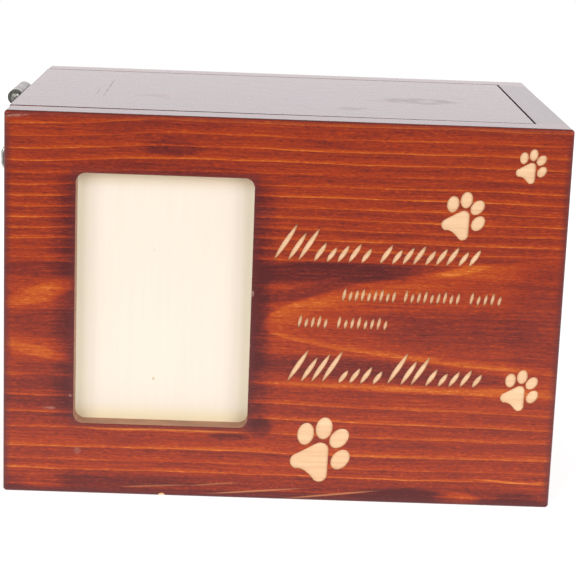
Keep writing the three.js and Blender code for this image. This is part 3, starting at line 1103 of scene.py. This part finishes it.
@dataclass
class CarvedFront:
    """The front board: a photo window with a rebate behind it, paw prints and rows of strokes."""

    carcass: Carcass
    carve_depth: float = 0.6 * MM
    burnt_rim: float = 0.09 * MM
    window_corner: float = 3.5 * MM
    window_lip: float = 7 * MM
    window_soft: float = 0.35 * MM
    soft_steps: int = 3
    curve_steps: int = 10
    chip_size: float = 1.2 * MM

    CHIP = (-42, 0)
    CHIP_STRETCH = (1.1, 1, 1)
    CHIP_ROUGH = 0.125
    CHIP_SEED = 3
    FLOOR_CORNERS = 5
    WINDOW = ((-74.6, 26.9), (-11.6, 118.7))
    REBATE_MARGIN = 4
    PAWS = (Paw(12.7, 14.9, 1), Paw(60.7, 104.6, 0.71), Paw(84.9, 41.5, 0.63), Paw(84.2, 124.1, 0.505))
    SCRIPT = {"slant": 0.6, "width": 2.1, "pitch": 3.9}
    PRINT = {"slant": 0.2, "width": 1.2, "pitch": 2.3}
    ROWS = (
        Row(89.5, 7.4, words=((-2, 31, 3), (34, 69.5, 0)), tall_top=103.5, **SCRIPT),
        Row(75.3, 5.3, words=((20.5, 40.5, 0), (42.5, 63.5, 0), (66, 78.5, 0)), **PRINT),
        Row(65, 5.3, words=((5, 16.5, 0), (19, 38, 0)), **PRINT),
        Row(44.8, 6.9, words=((4, 37, 4), (40, 73, 3)), tall_top=57.5, **SCRIPT),
    )

    class Slot(Enum):
        """The front board's material slots."""

        STAINED = 0
        REVEAL = 1
        PALE = 2
        BURNT = 3

    @cached_property
    def front(self) -> float:
        """The Y of the front face."""
        return box_of("front_board")[0].y

    @classmethod
    def window_distance(cls, graph: Graph) -> Value:
        """Distance outside the window's edge on the front face, in millimetres."""
        (left, low), (right, high) = cls.WINDOW
        beside = (left - graph.x).most(graph.x - right)
        above = (low - graph.z).most(graph.z - high)
        return beside.most(above)

    def window_cutters(self) -> list[Piece]:
        """The opening with its round corners, and the rebate behind the lip."""
        (left, low), (right, high) = ((x * MM, z * MM) for x, z in self.WINDOW)
        back = box_of("front_board")[1].y
        lip = self.front + self.window_lip
        margin = self.REBATE_MARGIN * MM
        opening = block("opening", (left, self.front - PAST, low), (right, lip + PAST, high))

        def corner(edge: Edge) -> bool:
            """Whether an edge runs through the board."""
            return abs(edge.verts[0].co.y - edge.verts[1].co.y) > PAST

        round_edges(opening, corner, self.window_corner, self.curve_steps)
        near = (left - margin, lip, low - margin)
        far = (right + margin, back + PAST, high + margin)
        return [opening, block("rebate", near, far)]

    def carving_cutter(self) -> Piece:
        """All paw prints and strokes as one cutter, with pale floors and burnt walls and rims."""
        outlines = [outline for paw in self.PAWS for outline in paw.outlines(self.curve_steps)]
        outlines += [stroke for row in self.ROWS for stroke in row.strokes(self.curve_steps)]
        cutter = block("carving", (0, 0, 0), (MM, MM, MM))
        with editing(cutter, Selecting.FACES):
            everything()
            bpy.ops.mesh.delete(type="VERT")
            for outline in outlines:
                self.add_outline(cutter, [Vector((x * MM, self.front - PAST, z * MM)) for x, z in outline])
            everything()
            reach = PAST + self.carve_depth
            bpy.ops.mesh.extrude_region_move(TRANSFORM_OT_translate={"value": (0, reach, 0)})
            bpy.ops.mesh.inset(thickness=self.burnt_rim, use_individual=True)
        return cutter

    def chip_cutter(self) -> Piece:
        """A small rough lump that knocks a chip out of the lower front edge."""
        place = (self.CHIP[0] * MM, self.front, self.CHIP[1] * MM)
        lump = {"subdivisions": 3, "radius": self.chip_size, "location": place}
        chip = add("chip", bpy.ops.mesh.primitive_ico_sphere_add, **lump)
        with editing(chip, Selecting.VERTICES):
            everything()
            bpy.ops.transform.resize(value=self.CHIP_STRETCH, center_override=place)
            rough = self.chip_size * self.CHIP_ROUGH
            bpy.ops.transform.vertex_random(offset=rough, seed=self.CHIP_SEED)
        return chip

    @staticmethod
    def add_outline(cutter: Piece, points: Sequence[Vector]) -> None:
        """Adds a flat face with that outline to a mesh in edit mode."""
        bpy.ops.mesh.select_all(action="DESELECT")
        bpy.ops.mesh.primitive_circle_add(vertices=len(points), radius=MM, fill_type="NGON")
        mesh = bmesh.from_edit_mesh(cutter.data)
        ring = next(face for face in mesh.faces if face.select)
        for vertex, point in zip(ring.verts, points):
            vertex.co = point
        bmesh.update_edit_mesh(cutter.data)

    def mark_carving(self, cutter: Piece) -> None:
        """Gives the cutter's floors the pale slot and all its other faces the burnt one."""
        with editing(cutter, Selecting.FACES):
            face_outwards()
        depth = self.front + self.carve_depth
        for face in cutter.data.polygons:
            on_floor = all(abs(cutter.data.vertices[v].co.y - depth) < TOUCH for v in face.vertices)
            inner = on_floor and len(face.vertices) >= self.FLOOR_CORNERS
            face.material_index = (self.Slot.PALE if inner else self.Slot.BURNT).value

    @staticmethod
    def paint(cutter: Piece, slot: Slot) -> Piece:
        """Gives all faces of a cutter one slot."""
        for face in cutter.data.polygons:
            face.material_index = slot.value
        return cutter

    def build(self, finishes: dict[Slot, Material]) -> None:
        """Makes the front board.

        Args:
            finishes: A material for each of its slots.
        """
        materials = [finishes[slot] for slot in self.Slot]
        piece = self.carcass.board("front_board")
        dress(piece, materials)
        combine(piece, [self.carcass.lid_recess()])
        self.carcass.soften_recess(piece)
        for cutter in self.window_cutters():
            dress(cutter, materials)
            combine(piece, [self.paint(cutter, self.Slot.REVEAL)])
        self.soften_window(piece)
        chip = self.chip_cutter()
        dress(chip, materials)
        combine(piece, [self.paint(chip, self.Slot.PALE)])
        carving = self.carving_cutter()
        dress(carving, materials)
        self.mark_carving(carving)
        combine(piece, [carving])
        finish(piece, "box", "stained_pine")

    def soften_window(self, piece: Piece) -> None:
        """Rounds the window's front edge a little."""
        (left, low), (right, high) = ((x * MM, z * MM) for x, z in self.WINDOW)

        def on_rim(place: Vector) -> bool:
            """Whether a place lies in the front face, on the window's edge or inside it."""
            beside = left - TOUCH <= place.x <= right + TOUCH
            level = low - TOUCH <= place.z <= high + TOUCH
            return abs(place.y - self.front) < TOUCH and beside and level

        def rim(edge: Edge) -> bool:
            """Whether an edge is part of the window's rim."""
            return all(on_rim(vertex.co) for vertex in edge.verts)

        round_edges(piece, rim, self.window_soft, self.soft_steps)


@dataclass
class Lid:
    """The flush lid: square edges, slightly softened, and a worn front edge at its left end."""

    soft: float = 0.45 * MM
    soft_steps: int = 3
    worn: float = 1.5 * MM

    def build(self, finish_material: Material) -> None:
        """Makes the lid.

        Args:
            finish_material: Its stained wood.
        """
        low, high = box_of("lid")
        piece = block("lid_finish", low, high)

        def near_left(vertex: bmesh.types.BMVert) -> bool:
            """Whether a vertex belongs to the left end of the upper front edge."""
            return vertex.co.x < low.x + PAST and vertex.co.y < low.y + MM and vertex.co.z > high.z - MM

        round_edges(piece, is_square, self.soft, self.soft_steps)
        with editing(piece, Selecting.VERTICES):
            pick(piece, Selecting.VERTICES, near_left)
            bpy.ops.transform.translate(value=(0, self.worn, 0))
        dress(piece, [finish_material])
        finish(piece, "box", "stained_pine")


@dataclass
class PhotoBacking:
    """The pale panel behind the window."""

    soft: float = 0.3 * MM
    soft_steps: int = 2

    def build(self, finish_material: Material) -> None:
        """Makes the panel.

        Args:
            finish_material: Its bare wood.
        """
        piece = block("photo_backing_finish", *box_of("photo_backing"))
        round_edges(piece, is_square, self.soft, self.soft_steps)
        dress(piece, [finish_material])
        finish(piece, "box", "bare_wood")


@dataclass
class Hasp:
    """Leaf, tongue, pin, staple and screws of the hasp on the left end."""

    plate: float = 1.25 * MM
    axis: Point = (-103.5 * MM, 137 * MM)
    knuckle: float = 3 * MM
    pin_hole: float = 1.3 * MM
    leaf_corner: float = 2 * MM
    tongue_corner: float = 4 * MM
    running_gap: float = 0.3 * MM
    slot_half: float = 1.5 * MM
    slot_low: float = 104.4 * MM
    slot_high: float = 117.8 * MM
    tongue_inset: float = 1 * MM
    wire: float = 0.8 * MM
    loop_bend: float = 3 * MM
    loop_half: float = 5.5 * MM
    soft: float = 0.2 * MM
    soft_steps: int = 2
    soft_above: float = math.radians(50)
    bend_steps: int = 8
    wire_sides: int = 20
    head_sides: int = 32
    screw_slot: tuple[float, float] = (0.6 * MM, 0.4 * MM)

    SLOT = "antique_bronze"
    DOME = tuple(math.radians(turn) for turn in (0, 18, 36, 54, 72))
    DOME_TIP = 0.2

    def plate_block(self, name: str, low: Sequence[float], high: Sequence[float], corner: float) -> Piece:
        """A plate that faces left, with its corners rounded."""
        piece = block(name, low, high)

        def through(edge: Edge) -> bool:
            """Whether an edge runs through the plate."""
            return abs(edge.verts[0].co.x - edge.verts[1].co.x) > TOUCH

        round_edges(piece, through, corner, self.bend_steps)
        return piece

    def bore(self, piece: Piece) -> None:
        """Cuts the pin's hole through a piece."""
        low, high = box_of("hasp_leaf")
        combine(piece, [rod("bore", self.pin_hole, low.y - PAST, high.y + PAST, self.axis)])

    def soften(self, piece: Piece) -> None:
        """Takes the sharpness off a metal piece's edges."""
        take(piece)
        bevel = piece.modifiers.new("Soft edges", "BEVEL")
        bevel.width = self.soft
        bevel.segments = self.soft_steps
        bevel.limit_method = "ANGLE"
        bevel.angle_limit = self.soft_above
        bpy.ops.object.modifier_apply(modifier=bevel.name)

    def leaf(self) -> Piece:
        """The plate on the lid's end with the two outer knuckles."""
        low, high = box_of("hasp_leaf")
        tongue_low, tongue_high = box_of("hasp_tongue")
        face = BOX[0].x
        gap = self.running_gap
        near, far = (face - self.plate, low.y, low.z), (face, high.y, self.axis[1])
        piece = self.plate_block("hasp_leaf_finish", near, far, self.leaf_corner)
        near = (face - self.plate - PAST, tongue_low.y - gap, self.axis[1] - self.knuckle - gap)
        far = (face + PAST, tongue_high.y + gap, self.axis[1] + PAST)
        combine(piece, [block("room", near, far)])
        ends = ((low.y, tongue_low.y - gap), (tongue_high.y + gap, high.y))
        combine(piece, [rod("knuckle", self.knuckle, a, b, self.axis) for a, b in ends], "UNION")
        self.bore(piece)
        return piece

    def tongue(self) -> Piece:
        """The tongue: the middle knuckle, a long plate with a round foot, and the slot for the staple."""
        low, high = box_of("hasp_tongue")
        inner = self.axis[0] + self.tongue_inset
        near, far = (inner - self.plate, low.y, low.z), (inner, high.y, self.axis[1])
        piece = self.plate_block("hasp_tongue_finish", near, far, self.tongue_corner)
        near = (inner - PAST, -self.slot_half, self.slot_low)
        far = (inner + PAST, self.slot_half, self.slot_high)
        combine(piece, [self.plate_block("slot", near, far, self.running_gap)])
        combine(piece, [rod("knuckle", self.knuckle, low.y, high.y, self.axis)], "UNION")
        self.bore(piece)
        return piece

    @staticmethod
    def disc(name: str, radius: float, place: Sequence[float], turn: Sequence[float], sides: int) -> Piece:
        """A flat disc to draw a shape out of.

        Args:
            name: The name of the shape.
            radius: The disc's radius.
            place: Its middle.
            turn: Its rotation round the three axes, from facing up.
            sides: Its number of sides.

        Returns:
            The new object.
        """
        shape = {"vertices": sides, "radius": radius, "fill_type": "NGON"}
        return add(name, bpy.ops.mesh.primitive_circle_add, location=place, rotation=turn, **shape)

    def turned(self, name: str, profile: Sequence[Point]) -> Piece:
        """A turned shape along Y, made by extruding and scaling a disc.

        Args:
            name: The piece's name.
            profile: Radius and place along Y, from one end to the other.

        Returns:
            The new object.
        """
        radius, start = profile[0]
        x, z = self.axis
        piece = self.disc(name, radius, (x, start, z), (QUARTER, 0, 0), self.head_sides)
        with editing(piece, Selecting.FACES):
            everything()
            for (before, here), (after, there) in zip(profile, profile[1:]):
                self.draw((0, there - here, 0))
                share = after / before
                bpy.ops.transform.resize(value=(share, 1, share), center_override=(x, there, z))
            face_outwards()
        return piece

    def pin(self) -> Piece:
        """The pin with its two domed heads."""
        low, high = box_of("hasp_pin")
        leaf_low, leaf_high = box_of("hasp_leaf")
        head = (high.z - low.z) / 2
        shaft = self.pin_hole - self.running_gap
        dome = [(math.cos(turn), math.sin(turn)) for turn in self.DOME]
        tall = high.y - leaf_high.y
        far = [(head * c, leaf_high.y + tall * s) for c, s in dome]
        near = [(head * c, leaf_low.y - tall * s) for c, s in reversed(dome)]
        tip = self.DOME_TIP * head
        profile = [(tip, low.y), *near, (shaft, leaf_low.y), (shaft, leaf_high.y), *far, (tip, high.y)]
        return self.turned("hasp_pin_finish", profile)

    def staple(self) -> Piece:
        """The plate on the left board with the wire loop that comes through the tongue."""
        low, high = box_of("hasp_staple")
        face = BOX[0].x
        near, far = (face - self.plate, low.y, low.z), (face, high.y, high.z)
        piece = self.plate_block("hasp_staple_finish", near, far, self.leaf_corner)
        middle = (low.z + high.z) / 2
        combine(piece, [self.loop(low.x, face - self.plate / 2, middle)], "UNION")
        return piece

    def loop(self, tip: float, root: float, middle: float) -> Piece:
        """The staple's wire, drawn out, up and back.

        Args:
            tip: The X of the loop's outermost point.
            root: The X where the wire enters the plate.
            middle: The Z of the loop's middle.

        Returns:
            The new object.
        """
        low = middle - self.loop_half + self.wire
        bend_x = tip + self.wire + self.loop_bend
        upright = 2 * (self.loop_half - self.wire - self.loop_bend)
        piece = self.disc("loop", self.wire, (root, 0, low), (0, QUARTER, 0), self.wire_sides)
        with editing(piece, Selecting.FACES):
            everything()
            self.draw((bend_x - root, 0, 0))
            self.bend((bend_x, 0, low + self.loop_bend))
            self.draw((0, 0, upright))
            self.bend((bend_x, 0, low + self.loop_bend + upright))
            self.draw((root - bend_x, 0, 0))
            face_outwards()
        return piece

    @staticmethod
    def draw(step: Sequence[float]) -> None:
        """Draws the selected end of a shape out by a step."""
        bpy.ops.mesh.extrude_region_move(TRANSFORM_OT_translate={"value": step})

    def bend(self, centre: Sequence[float]) -> None:
        """Bends the selected end of a wire up by a quarter turn round a centre."""
        bpy.ops.mesh.spin(steps=self.bend_steps, angle=QUARTER, center=centre, axis=(0, -1, 0))

    def screw(self, node: str) -> Piece:
        """A domed screw head with an upright slot."""
        low, high = box_of(node)
        middle = (low + high) / 2
        radius = (high.y - low.y) / 2
        size = (high.x - low.x, radius, radius)
        seat = (high.x, middle.y, middle.z)
        ball = {"segments": self.head_sides, "ring_count": self.head_sides // 2, "radius": 1}
        piece = add(f"{node}_finish", bpy.ops.mesh.primitive_uv_sphere_add, size, location=seat, **ball)
        with editing(piece, Selecting.FACES):
            everything()
            bpy.ops.mesh.bisect(plane_co=seat, plane_no=(1, 0, 0), use_fill=True, clear_outer=True)
        width, deep = self.screw_slot
        near = (low.x - PAST, middle.y - width / 2, low.z - PAST)
        far = (low.x + deep, middle.y + width / 2, high.z + PAST)
        combine(piece, [block("slot", near, far)])
        return piece

    def screws(self) -> Iterator[Piece]:
        """The four screw heads: one is modelled, and the others are copies moved to their places."""
        first, *others = (f"{holder}_screw_{number}" for holder in ("leaf", "staple") for number in (1, 2))
        model = self.screw(first)
        for node in others:
            take(model)
            step = box_of(node)[0] - box_of(first)[0]
            bpy.ops.object.duplicate_move(TRANSFORM_OT_translate={"value": step})
            yield placed(f"{node}_finish")
        yield model

    def build(self, finish_material: Material) -> None:
        """Makes every piece of the hasp.

        Args:
            finish_material: Its darkened metal.
        """
        for piece in (self.leaf(), self.tongue(), self.staple()):
            self.soften(piece)
            dress(piece, [finish_material])
            finish(piece, "tongue" if "tongue" in piece.name else "box", self.SLOT)
        for piece in (self.pin(), *self.screws()):
            dress(piece, [finish_material])
            finish(piece, "box", self.SLOT)


@dataclass
class Studio:
    """Pale floor, soft lights, and the camera at the photograph's place."""

    camera_at: tuple[float, float, float] = (-0.00966, -0.71489, 0.2299)
    look_at: tuple[float, float, float] = (0.0026, 0, 0.06341)
    roll: float = math.radians(2.18)
    lens: float = 116
    sensor: float = 36
    floor_low: Point = (-3, -0.34)
    floor_high: Point = (3, 1.25)
    floor_colour: Colour = (0.75, 0.75, 0.75)
    floor_roughness: float = 0.9
    floor_glow: float = 0.78
    surround: float = 0.28
    backdrop: float = 1.0

    LIGHTS = (
        ("back_softbox", (0, 1.7, 0.55), (3.6, 1.5), 26.0, (1, 0.94, 0.965)),
        ("left_softbox", (-1.15, -1.65, 0.85), (1.3, 1.3), 30.0, (1, 1, 1)),
        ("right_softbox", (1.15, -1.65, 0.85), (1.3, 1.3), 30.0, (1, 1, 1)),
    )
    AIM = Vector((0, 0, 0.07))

    def build(self) -> None:
        """Sets up the camera, the lights, the surroundings and the floor."""
        self.camera()
        for name, place, size, power, colour in self.LIGHTS:
            self.softbox(name, Vector(place), size, power, colour)
        self.surroundings()
        self.floor()
        bpy.context.scene.view_settings.view_transform = "Standard"

    def camera(self) -> None:
        """Places the camera and makes it the scene's own."""
        data = bpy.data.cameras.new("camera")
        data.lens = self.lens
        data.sensor_width = self.sensor
        camera = bpy.data.objects.new("camera", data)
        bpy.context.scene.collection.objects.link(camera)
        camera.location = self.camera_at
        camera.rotation_mode = "QUATERNION"
        aim = Vector(self.look_at) - camera.location
        camera.rotation_quaternion = aim.to_track_quat("-Z", "Y") @ Quaternion((0, 0, 1), self.roll)
        bpy.context.scene.camera = camera

    def softbox(self, name: str, place: Vector, size: Point, power: float, colour: Colour) -> None:
        """Adds one large soft light.

        Args:
            name: Its name.
            place: Where it stands.
            size: Its width and height.
            power: Its power in watts.
            colour: Its tint.
        """
        data = bpy.data.lights.new(name, "AREA")
        data.shape = "RECTANGLE"
        data.color = colour
        data.size, data.size_y = size
        data.energy = power
        light = bpy.data.objects.new(name, data)
        bpy.context.scene.collection.objects.link(light)
        light.location = place
        light.rotation_euler = (self.AIM - place).to_track_quat("-Z", "Y").to_euler()
        light.visible_camera = False

    def surroundings(self) -> None:
        """A white backdrop for the camera, and a dimmer room for everything else."""
        world = bpy.data.worlds.new("studio")
        bpy.context.scene.world = world
        world.use_nodes = True
        tree = Tree(world.node_tree)
        room, backdrop = (
            tree.node("ShaderNodeBackground", inputs={"Color": (level, level, level, 1)}).outputs[0]
            for level in (self.surround, self.backdrop)
        )
        seen = tree.node("ShaderNodeLightPath").outputs["Is Camera Ray"]
        mix = tree.node("ShaderNodeMixShader", inputs={0: seen, 1: room, 2: backdrop})
        tree.node("ShaderNodeOutputWorld", inputs={"Surface": mix.outputs[0]})

    def floor(self) -> None:
        """A plain pale floor under the box."""
        (left, near), (right, far) = self.floor_low, self.floor_high
        middle = ((left + right) / 2, (near + far) / 2, -TOUCH)
        size = (right - left, far - near, 1)
        floor = add("floor", bpy.ops.mesh.primitive_plane_add, size, size=1, location=middle)
        colour = (*self.floor_colour, 1)
        inputs = {
            "Base Color": colour,
            "Roughness": self.floor_roughness,
            "Emission Color": colour,
            "Emission Strength": self.floor_glow,
        }
        dress(floor, [Graph("pale_floor").shader(inputs)])
        floor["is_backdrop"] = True


def write_size() -> None:
    """Works out the CAD model's box and the visual model's box, and keeps neither."""
    boxes = {"cad": CAD_BOX, "visual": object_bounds()}
    {name: [list(corner) for corner in box] for name, box in boxes.items()}


def main() -> None:
    """Builds the box, piece by piece, and the studio round it."""
    logging.basicConfig(level=logging.INFO, format="%(message)s")
    upright, endwise, flat = Lie.UPRIGHT_ALONG_X, Lie.UPRIGHT_ALONG_Y, Lie.FLAT_ALONG_X
    # the right board's top takes the full painted shade
    right_top = {"top_dulled": 0.03, "top_painted_shade": 1, "ior": 1.5}
    boards = {
        "back_board": StainedPine("pine_back", upright, 7.3, pith_across=60, pith_lean=0.13, year=2.8),
        "left_end_board": StainedPine("pine_left", endwise, 3.1, pith_across=80, pith_depth=160, year=3.4),
        "right_end_board": StainedPine(
            "pine_right", endwise, 11.7, pith_across=40, pith_depth=-45, year=3, **right_top
        ),
        "bottom_board": StainedPine("pine_bottom", flat, 5.9, pith_depth=40),
    }
    slot = CarvedFront.Slot
    front = {
        slot.STAINED: FrontPine("pine_front", upright, 2.4, shade=-0.09),
        slot.REVEAL: BareWood("sawn_reveal", (0.46, 0.235, 0.145), (0.19, 0.09, 0.055), (9, 9, 0.9), 0.55),
        slot.PALE: BareWood("carved_floor", (0.77, 0.54, 0.34), (0.47, 0.25, 0.12), (34, 34, 1.3)),
        slot.BURNT: BareWood("burnt_rim", (0.55, 0.30, 0.14), (0.36, 0.17, 0.07), (6, 6, 0.6)),
    }
    # the lid's darker stain (shade=-0.5) is painted shade on its top
    lid = LidPine("pine_lid", flat, 9.2, pith_across=-14, pith_depth=-80, shade=-0.5)
    backing = BackingWood("bare_backing", (0.675, 0.605, 0.52), (0.57, 0.475, 0.36), (2.5, 8, 90))
    carcass = Carcass()
    carcass.build({node: pine.material() for node, pine in boards.items()})
    CarvedFront(carcass).build({key: wood.material() for key, wood in front.items()})
    Lid().build(lid.material())
    PhotoBacking().build(backing.material())
    Hasp().build(AntiqueBronze("antique_bronze").material())
    Studio().build()
    write_size()


if __name__ == "__main__":
    main()
